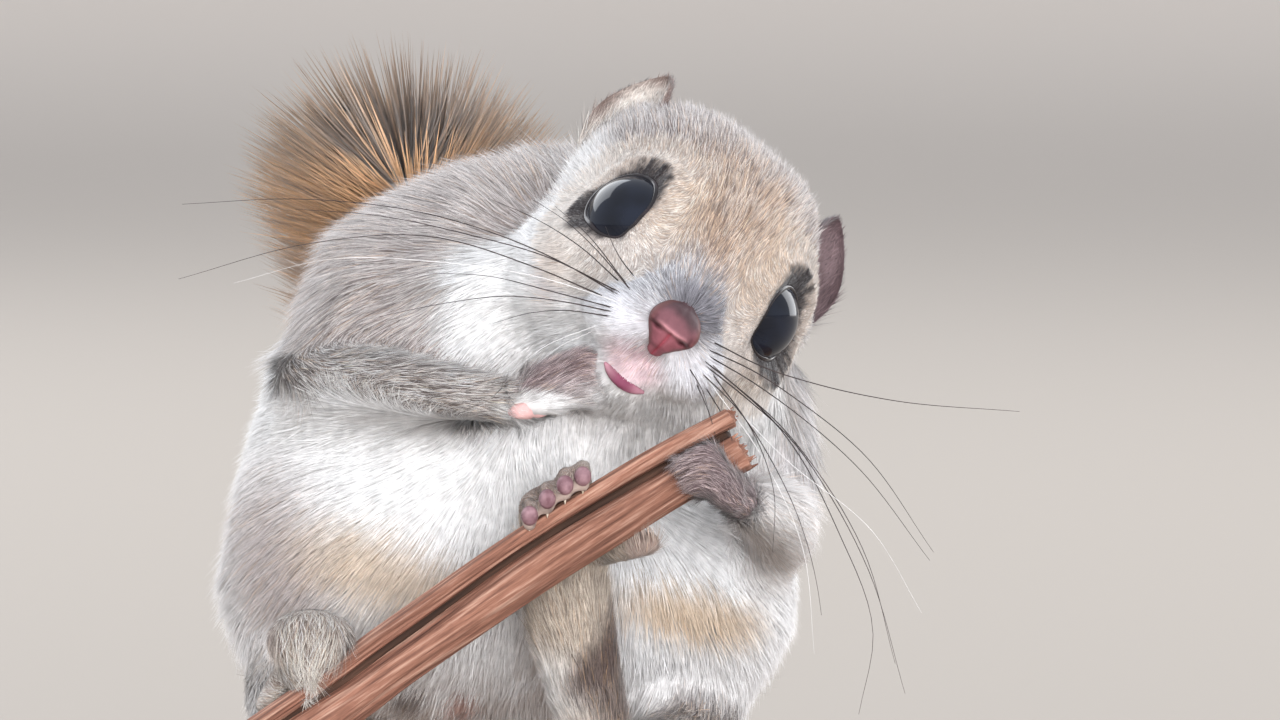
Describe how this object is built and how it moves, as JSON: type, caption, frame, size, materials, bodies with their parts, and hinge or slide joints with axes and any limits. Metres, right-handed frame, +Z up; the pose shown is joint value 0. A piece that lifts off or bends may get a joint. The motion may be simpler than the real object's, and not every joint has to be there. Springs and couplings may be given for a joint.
{
  "type": "flying squirrel",
  "caption": "Life-size still flying squirrel that sits up, head tilted, gripping a cut dead stem with hand and feet, on a round display stand with two short rods.",
  "frame": {"origin": "centre of the underside of the stand's base", "axes": "+Z up; the animal faces -Y, with its right side towards -X"},
  "size_m": [0.104, 0.104, 0.0852],
  "materials": {
    "back_fur": "short dense fur, grey-brown with paler tips",
    "pale_fur": "soft white fur with cream patches",
    "limb_fur": "short dark brown fur with pale tips",
    "tail_fur": "long ochre hair, combed to both sides",
    "ears": "thin skin with very short hair",
    "nose": "bare pink skin, slightly moist",
    "eyes": "wet, near black",
    "stem": "dry split plant stem, reddish brown",
    "base": "satin, plain turned disc",
    "rods": "brushed"
  },
  "bodies": {
    "root": {"stand_base": "base", "stand_rod_body": "rods", "stand_rod_perch": "rods", "perch_stem": "stem", "eye_right": "eyes", "eye_left": "eyes", "nose": "nose", "lower_jaw": "pale_fur", "head": "back_fur", "muzzle_right": "pale_fur", "muzzle_left": "pale_fur", "ear_right": "ears", "ear_left": "ears", "neck": "pale_fur", "torso": "back_fur", "hand_left": "limb_fur", "hand_right": "limb_fur", "foot_left": "limb_fur", "foot_right": "limb_fur", "forearm_right": "limb_fur", "forearm_left": "limb_fur", "upper_arm_right": "back_fur", "upper_arm_left": "back_fur", "shin_right": "limb_fur", "shin_left": "limb_fur", "thigh_right": "back_fur", "thigh_left": "back_fur", "membrane_right": "pale_fur", "membrane_left": "pale_fur", "tail_root": "tail_fur", "tail_middle": "tail_fur", "tail_tip": "tail_fur"}
  },
  "joints": []
}
